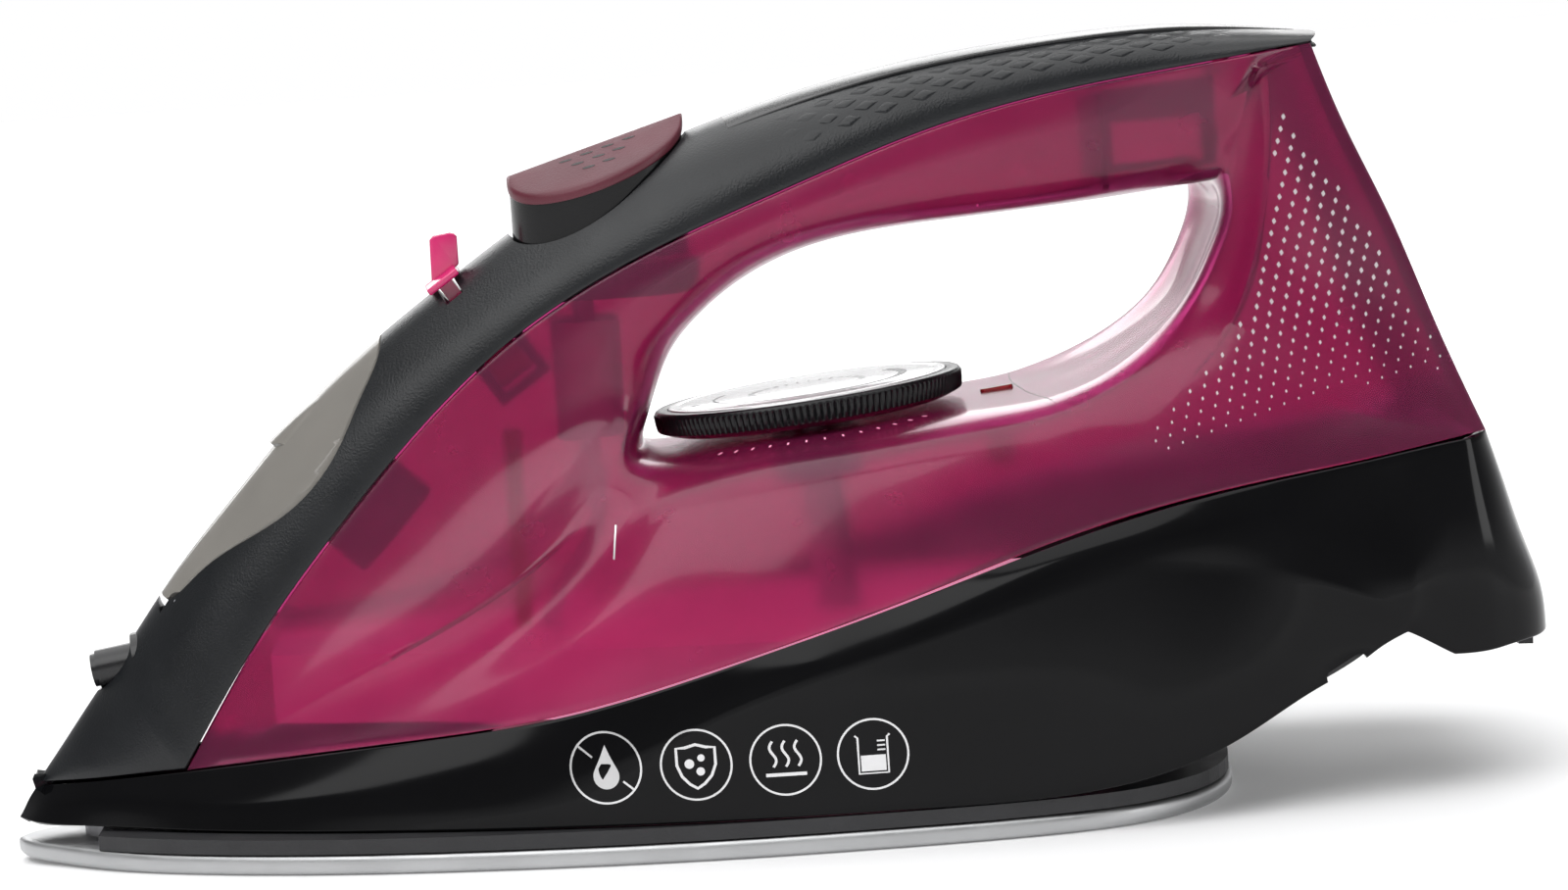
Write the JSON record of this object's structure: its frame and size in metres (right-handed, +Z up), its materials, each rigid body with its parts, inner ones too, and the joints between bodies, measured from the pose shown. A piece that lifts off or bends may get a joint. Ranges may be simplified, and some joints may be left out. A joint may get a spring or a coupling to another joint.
{
  "type": "clothes iron",
  "caption": "Cordless steam iron with looped handle, tinted water tank, turning dial, steam lever, two push buttons and hinged filler lid.",
  "frame": {"origin": "on the soleplate's working face, in the middle plane, 145 mm behind the nose tip", "axes": "+X from the nose to the heel, +Z up from the soleplate, +Y to the iron's own right seen from the heel"},
  "size_m": [0.2865, 0.1144, 0.1414],
  "materials": {
    "brushed_sole": "satin",
    "cast_aluminium": "matte",
    "heater_steel": "satin",
    "silicone": "matte",
    "valve_brass": "polished",
    "fuse_ceramic": "matte",
    "zinc_steel": "satin",
    "shield_plastic": "matte",
    "gloss_black": "gloss",
    "underside_black": "satin",
    "wire_insulation": "satin",
    "tank_magenta": "clear tinted gloss",
    "floor_pale": "satin",
    "cover_satin": "satin",
    "inlay_black": "semi-gloss",
    "nozzle_black": "satin",
    "clear_hose": "satin",
    "funnel_grey": "satin",
    "lid_smoke": "smoky clear gloss",
    "frame_plastic": "matte",
    "button_maroon": "semi-gloss",
    "sleeve_black": "semi-gloss",
    "pump_white": "satin",
    "lever_pink": "semi-gloss",
    "dial_black": "satin",
    "dial_silver": "satin metallic",
    "lens_red": "clear tinted"
  },
  "bodies": {
    "root": {"soleplate": "brushed_sole", "heating_casting": "cast_aluminium", "heating_element": "heater_steel", "chamber_gasket": "silicone", "chamber_cover": "heater_steel", "steam_valve_seat": "valve_brass", "thermal_fuse": "fuse_ceramic", "sole_screws": "zinc_steel", "heat_shield": "shield_plastic", "lower_housing": "gloss_black", "base_cover": "underside_black", "rear_cover": "gloss_black", "dock_socket": "underside_black", "dock_contacts": "valve_brass", "terminal_block": "fuse_ceramic", "wires": "wire_insulation", "housing_screws": "zinc_steel", "water_tank": "tank_magenta", "tank_floor": "floor_pale", "nose_cover": "cover_satin", "handle_inlay": "inlay_black", "spray_nozzle": "nozzle_black", "nozzle_ring": "nozzle_black", "spray_tube": "clear_hose", "steam_tube": "clear_hose", "filler_funnel": "funnel_grey", "lid_hinge_pin": "zinc_steel", "button_frame": "frame_plastic", "steam_spring": "zinc_steel", "steam_pump_body": "pump_white", "spray_spring": "zinc_steel", "spray_pump_body": "pump_white", "lever_pivot_pin": "zinc_steel", "lever_bracket": "frame_plastic", "dial_bushing": "frame_plastic", "thermostat": "fuse_ceramic", "pilot_lens": "lens_red", "pilot_lamp": "lens_red"},
    "dial": {"temperature_dial": "dial_black", "dial_face": "dial_silver", "dial_shaft": "zinc_steel"},
    "lever": {"steam_lever": "lever_pink"},
    "valve_rod": {"steam_valve_rod": "silicone"},
    "steam_button": {"steam_button_cap": "button_maroon", "steam_button_sleeve": "sleeve_black", "steam_piston": "pump_white"},
    "spray_button": {"spray_button_cap": "button_maroon", "spray_button_sleeve": "sleeve_black", "spray_piston": "pump_white"},
    "lid": {"filler_lid": "lid_smoke", "lid_knuckle": "lid_smoke"}
  },
  "joints": [
    {"name": "dial_turn", "type": "hinge", "parent": "root", "child": "dial", "pos_m": [0.0087, 0, 0.0781], "axis": [-0.0872, 0, 0.9962], "range_deg": [0, 270]},
    {"name": "lever_swing", "type": "hinge", "parent": "root", "child": "lever", "pos_m": [-0.04688, 0, 0.08685], "axis": [0.829, 0, 0.5592], "range_deg": [-18, 18]},
    {"name": "valve_slide", "type": "slide", "parent": "root", "child": "valve_rod", "axis": [0, 0, 1], "range_m": [-0.002, 0.002]},
    {"name": "steam_press", "type": "slide", "parent": "root", "child": "steam_button", "axis": [0, 0, -1], "range_m": [0, 0.004], "stiffness_N_per_m": 500, "springref_m": -0.003, "deforming": ["steam_spring"]},
    {"name": "spray_press", "type": "slide", "parent": "root", "child": "spray_button", "axis": [0, 0, -1], "range_m": [0, 0.004], "stiffness_N_per_m": 500, "springref_m": -0.003, "deforming": ["spray_spring"]},
    {"name": "lid_open", "type": "hinge", "parent": "root", "child": "lid", "pos_m": [-0.11116, 0, 0.04695], "axis": [0, -1, 0], "range_deg": [0, 50]}
  ],
  "couplings": [
    {"joint": "valve_slide", "follows": "lever_swing", "m_per_rad": 0.0062}
  ]
}
